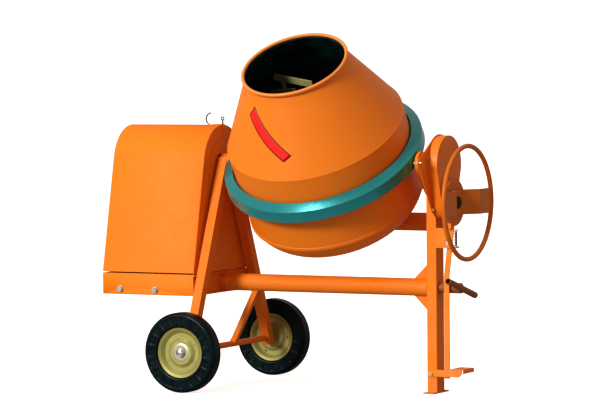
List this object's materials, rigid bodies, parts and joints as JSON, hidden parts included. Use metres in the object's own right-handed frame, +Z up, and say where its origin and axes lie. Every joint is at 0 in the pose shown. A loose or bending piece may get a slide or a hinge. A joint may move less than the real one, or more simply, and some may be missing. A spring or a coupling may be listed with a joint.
{
  "type": "concrete mixer",
  "caption": "Towable tilting-drum site mixer with motor hood, handwheel tilt gear, foot brake pedal and pull-out towing bar.",
  "frame": {"origin": "middle of the underside of the foot plate below the handwheel leg, on the ground", "axes": "+X runs along the main beam from the motor end to the handwheel, -Y is the discharge side, +Z is up"},
  "size_m": [1.7014, 0.9461, 1.559],
  "materials": {
    "frame_paint": "satin orange paint",
    "hood_paint": "satin orange paint",
    "drum_paint": "gloss orange paint",
    "worn_blades": "worn by the mix",
    "galvanised": "bright galvanised",
    "yellow_zinc": "yellow zinc plated",
    "zinc": "zinc plated",
    "bright_steel": "machined",
    "rod_steel": "satin orange paint",
    "cast": "as cast",
    "bronze": "machined",
    "motor_grey": "painted grey casting",
    "spring_black": "black",
    "tyre_black": "matte",
    "black_plastic": "matte",
    "belt_rubber": "matte"
  },
  "bodies": {
    "frame": {"main_beam": "frame_paint", "beam_spigot": "bright_steel", "tray_bearer": "frame_paint", "trestle_front_leg": "frame_paint", "trestle_rear_leg": "frame_paint", "trestle_head": "frame_paint", "axle": "bright_steel", "axle_brace": "frame_paint", "axle_nuts": "zinc", "motor_tray": "hood_paint", "hood_hinges": "hood_paint", "bulkhead": "hood_paint", "latch_eye": "hood_paint", "handwheel_leg": "frame_paint", "foot_plate": "frame_paint", "beam_gussets": "frame_paint", "gear_back_plate": "frame_paint", "gear_cover": "frame_paint", "cover_screws": "zinc", "frame_bolts": "zinc", "leg_bushes": "bronze", "rod_guide": "frame_paint", "return_spring": "spring_black", "motor": "motor_grey", "drive_belt": "belt_rubber", "switch_box": "black_plastic"},
    "yoke": {"yoke_arms": "frame_paint", "yoke_cross_tube": "frame_paint", "spindle_housing": "bright_steel", "left_trunnion": "bright_steel", "right_trunnion": "bright_steel", "tilt_gear": "cast", "ring_guard": "galvanised", "guard_clips": "zinc"},
    "drum": {"drum_cone": "drum_paint", "drum_band": "drum_paint", "drum_bowl": "drum_paint", "mouth_rim": "drum_paint", "ring_gear": "cast", "mixing_blades": "worn_blades", "drum_spindle": "bright_steel", "spindle_nut": "bright_steel"},
    "pinion": {"pinion_shaft": "bright_steel", "drive_pinion": "cast", "large_pulley": "cast"},
    "rotor": {"motor_pulley": "cast"},
    "tilt_drive": {"handwheel": "frame_paint", "handwheel_shaft": "bright_steel", "brake_disc": "bright_steel", "tilt_pinion": "cast", "hub_cap": "black_plastic"},
    "pedal": {"brake_pedal": "frame_paint"},
    "rod": {"brake_rod": "rod_steel"},
    "tow": {"towing_bar": "frame_paint"},
    "front_wheel": {"front_tyre": "tyre_black", "front_wheel_disc": "yellow_zinc"},
    "rear_wheel": {"rear_tyre": "tyre_black", "rear_wheel_disc": "yellow_zinc"},
    "cover_hood": {"hood": "hood_paint"},
    "switch": {"switch_knob": "black_plastic"}
  },
  "joints": [
    {"name": "yoke_tilt", "type": "hinge", "parent": "frame", "child": "yoke", "pos_m": [-0.5245, 0, 0.989], "axis": [1, 0, 0], "range_deg": [-34, 96]},
    {"name": "drum_spin", "type": "hinge", "parent": "yoke", "child": "drum", "pos_m": [-0.5245, 0, 0.989], "axis": [0, -0.5563, 0.831], "continuous": true},
    {"name": "pinion_spin", "type": "hinge", "parent": "yoke", "child": "pinion", "pos_m": [-1.017, 0, 0.989], "axis": [1, 0, 0], "continuous": true},
    {"name": "motor_spin", "type": "hinge", "parent": "frame", "child": "rotor", "pos_m": [-1.106, 0, 0.61], "axis": [1, 0, 0], "continuous": true},
    {"name": "handwheel_turn", "type": "hinge", "parent": "frame", "child": "tilt_drive", "pos_m": [0.116, 0, 0.824], "axis": [1, 0, 0], "range_deg": [-185, 68]},
    {"name": "pedal_press", "type": "hinge", "parent": "frame", "child": "pedal", "pos_m": [-0.001, -0.042, 0.086], "axis": [0, 1, 0], "range_deg": [0, 11]},
    {"name": "rod_slide", "type": "slide", "parent": "frame", "child": "rod", "axis": [0, 0, 1], "range_m": [-0.016, 0], "stiffness_N_per_m": 2000, "springref_m": 0.01, "deforming": ["return_spring"]},
    {"name": "tow_slide", "type": "slide", "parent": "frame", "child": "tow", "axis": [1, 0, 0], "range_m": [0, 0.45]},
    {"name": "front_wheel_spin", "type": "hinge", "parent": "frame", "child": "front_wheel", "pos_m": [-1.017, -0.42, 0.175], "axis": [0, 1, 0], "continuous": true},
    {"name": "rear_wheel_spin", "type": "hinge", "parent": "frame", "child": "rear_wheel", "pos_m": [-1.017, 0.42, 0.175], "axis": [0, 1, 0], "continuous": true},
    {"name": "hood_open", "type": "hinge", "parent": "frame", "child": "cover_hood", "pos_m": [-1.5255, 0, 0.503], "axis": [0, -1, 0], "range_deg": [0, 80]},
    {"name": "switch_turn", "type": "hinge", "parent": "frame", "child": "switch", "pos_m": [-1.224, 0.3, 0.463], "axis": [0, 1, 0], "range_deg": [0, 90]}
  ],
  "couplings": [
    {"joint": "pinion_spin", "follows": "drum_spin", "ratio": 10.182},
    {"joint": "motor_spin", "follows": "drum_spin", "ratio": 37.232},
    {"joint": "handwheel_turn", "follows": "yoke_tilt", "ratio": -1.8947},
    {"joint": "rod_slide", "follows": "pedal_press", "m_per_rad": -0.072}
  ]
}
